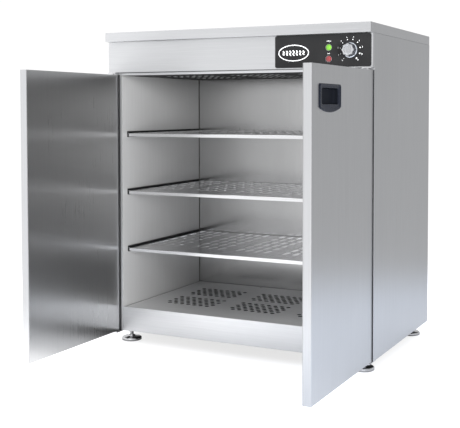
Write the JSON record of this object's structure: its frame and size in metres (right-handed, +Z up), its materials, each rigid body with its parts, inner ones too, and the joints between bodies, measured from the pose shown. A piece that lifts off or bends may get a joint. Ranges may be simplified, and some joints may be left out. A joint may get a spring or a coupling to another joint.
{
  "type": "heated holding cabinet",
  "caption": "Low two-door heated holding cabinet in brushed steel, both doors open, with sliding perforated shelves, a control panel with knob and lamps, and screw feet.",
  "frame": {"origin": "on the floor, under the middle of the cabinet with its doors open at right angles", "axes": "+X to the cabinet's right seen from the front, +Y from the doors towards the back, +Z up"},
  "size_m": [0.75, 0.859, 0.84],
  "materials": {
    "worktop": "brushed stainless steel, linear grain across the front",
    "worktop_core": "plain board, hidden",
    "side_left": "brushed stainless steel",
    "side_right": "brushed stainless steel",
    "back_panel": "brushed stainless steel",
    "liner_left": "brushed stainless steel, duller from heat",
    "liner_right": "brushed stainless steel, duller from heat",
    "liner_back": "brushed stainless steel, duller from heat",
    "insulation_left": "stone wool mat",
    "insulation_right": "stone wool mat",
    "insulation_back": "stone wool mat",
    "insulation_top": "stone wool mat",
    "base_rail": "brushed stainless steel",
    "base_pan": "brushed stainless steel",
    "top_rail": "brushed stainless steel",
    "fascia": "brushed stainless steel",
    "element_bracket": "brushed stainless steel",
    "ceiling_plate": "brushed stainless steel, perforated",
    "floor_plate": "brushed stainless steel, perforated",
    "control_panel": "dark grey overlay, satin",
    "shelf_1": "bright polished stainless steel, perforated",
    "shelf_2": "bright polished stainless steel, perforated",
    "shelf_3": "bright polished stainless steel, perforated",
    "shelf_runner_left_1": "black channel, matt",
    "shelf_runner_right_1": "black channel, matt",
    "shelf_runner_left_2": "black channel, matt",
    "shelf_runner_right_2": "black channel, matt",
    "shelf_runner_left_3": "black channel, matt",
    "shelf_runner_right_3": "black channel, matt",
    "door_left_shell": "brushed stainless steel, vertical grain",
    "door_left_inner": "brushed stainless steel, vertical grain",
    "door_left_core": "stone wool board",
    "door_left_handle": "black moulded plastic, fine grain",
    "door_right_shell": "brushed stainless steel, vertical grain",
    "door_right_inner": "brushed stainless steel, vertical grain",
    "door_right_core": "stone wool board",
    "door_right_handle": "black moulded plastic, fine grain",
    "hinge_upper_left": "bright pressed steel",
    "hinge_upper_right": "bright pressed steel",
    "hinge_lower_left": "bright pressed steel",
    "hinge_lower_right": "bright pressed steel",
    "door_magnet_left": "ferrite block",
    "door_magnet_right": "ferrite block",
    "foot_front_left": "bright plated steel",
    "foot_front_right": "bright plated steel",
    "foot_rear_left": "bright plated steel",
    "foot_rear_right": "bright plated steel",
    "foot_nut_front_left": "bright plated steel",
    "foot_nut_front_right": "bright plated steel",
    "foot_nut_rear_left": "bright plated steel",
    "foot_nut_rear_right": "bright plated steel",
    "knob": "silvered, fluted",
    "knob_skirt": "silvered",
    "knob_spindle": "turned steel",
    "thermostat": "moulded body",
    "lamp_green": "clear green lens, lit",
    "lamp_red": "clear red lens, off",
    "heating_element": "dark oxidised sheath",
    "terminal_block": "cream moulded block",
    "cable_gland": "black moulded plastic"
  },
  "bodies": {
    "cabinet": {"worktop": "worktop", "worktop_core": "worktop_core", "side_left": "side_left", "side_right": "side_right", "back_panel": "back_panel", "liner_left": "liner_left", "liner_right": "liner_right", "liner_back": "liner_back", "insulation_left": "insulation_left", "insulation_right": "insulation_right", "insulation_back": "insulation_back", "insulation_top": "insulation_top", "base_rail": "base_rail", "base_pan": "base_pan", "top_rail": "top_rail", "fascia": "fascia", "element_bracket": "element_bracket", "ceiling_plate": "ceiling_plate", "floor_plate": "floor_plate", "control_panel": "control_panel", "shelf_runner_left_1": "shelf_runner_left_1", "shelf_runner_right_1": "shelf_runner_right_1", "shelf_runner_left_2": "shelf_runner_left_2", "shelf_runner_right_2": "shelf_runner_right_2", "shelf_runner_left_3": "shelf_runner_left_3", "shelf_runner_right_3": "shelf_runner_right_3", "hinge_upper_left": "hinge_upper_left", "hinge_upper_right": "hinge_upper_right", "hinge_lower_left": "hinge_lower_left", "hinge_lower_right": "hinge_lower_right", "door_magnet_left": "door_magnet_left", "door_magnet_right": "door_magnet_right", "foot_nut_front_left": "foot_nut_front_left", "foot_nut_front_right": "foot_nut_front_right", "foot_nut_rear_left": "foot_nut_rear_left", "foot_nut_rear_right": "foot_nut_rear_right", "thermostat": "thermostat", "lamp_green": "lamp_green", "lamp_red": "lamp_red", "heating_element": "heating_element", "terminal_block": "terminal_block", "cable_gland": "cable_gland"},
    "left_door": {"door_left_shell": "door_left_shell", "door_left_inner": "door_left_inner", "door_left_core": "door_left_core", "door_left_handle": "door_left_handle"},
    "right_door": {"door_right_shell": "door_right_shell", "door_right_inner": "door_right_inner", "door_right_core": "door_right_core", "door_right_handle": "door_right_handle"},
    "lower_shelf": {"shelf_1": "shelf_1"},
    "middle_shelf": {"shelf_2": "shelf_2"},
    "upper_shelf": {"shelf_3": "shelf_3"},
    "control_knob": {"knob": "knob", "knob_skirt": "knob_skirt", "knob_spindle": "knob_spindle"},
    "foot_fl": {"foot_front_left": "foot_front_left"},
    "foot_fr": {"foot_front_right": "foot_front_right"},
    "foot_rl": {"foot_rear_left": "foot_rear_left"},
    "foot_rr": {"foot_rear_right": "foot_rear_right"}
  },
  "joints": [
    {"name": "left_door_hinge", "type": "hinge", "parent": "cabinet", "child": "left_door", "pos_m": [-0.3621, -0.06895, 0.032], "axis": [0, 0, -1], "range_deg": [-90, 10]},
    {"name": "right_door_hinge", "type": "hinge", "parent": "cabinet", "child": "right_door", "pos_m": [0.3621, -0.06895, 0.032], "axis": [0, 0, 1], "range_deg": [-90, 10]},
    {"name": "lower_shelf_slide", "type": "slide", "parent": "cabinet", "child": "lower_shelf", "axis": [0, -1, 0], "range_m": [0, 0.45]},
    {"name": "middle_shelf_slide", "type": "slide", "parent": "cabinet", "child": "middle_shelf", "axis": [0, -1, 0], "range_m": [0, 0.45]},
    {"name": "upper_shelf_slide", "type": "slide", "parent": "cabinet", "child": "upper_shelf", "axis": [0, -1, 0], "range_m": [0, 0.45]},
    {"name": "knob_turn", "type": "hinge", "parent": "cabinet", "child": "control_knob", "pos_m": [0.3185, -0.06845, 0.776], "axis": [0, 1, 0], "range_deg": [0, 270]},
    {"name": "foot_fl_screw", "type": "slide", "parent": "cabinet", "child": "foot_fl", "axis": [0, 0, -1], "range_m": [0, 0.012]},
    {"name": "foot_fr_screw", "type": "slide", "parent": "cabinet", "child": "foot_fr", "axis": [0, 0, -1], "range_m": [0, 0.012]},
    {"name": "foot_rl_screw", "type": "slide", "parent": "cabinet", "child": "foot_rl", "axis": [0, 0, -1], "range_m": [0, 0.012]},
    {"name": "foot_rr_screw", "type": "slide", "parent": "cabinet", "child": "foot_rr", "axis": [0, 0, -1], "range_m": [0, 0.012]}
  ]
}
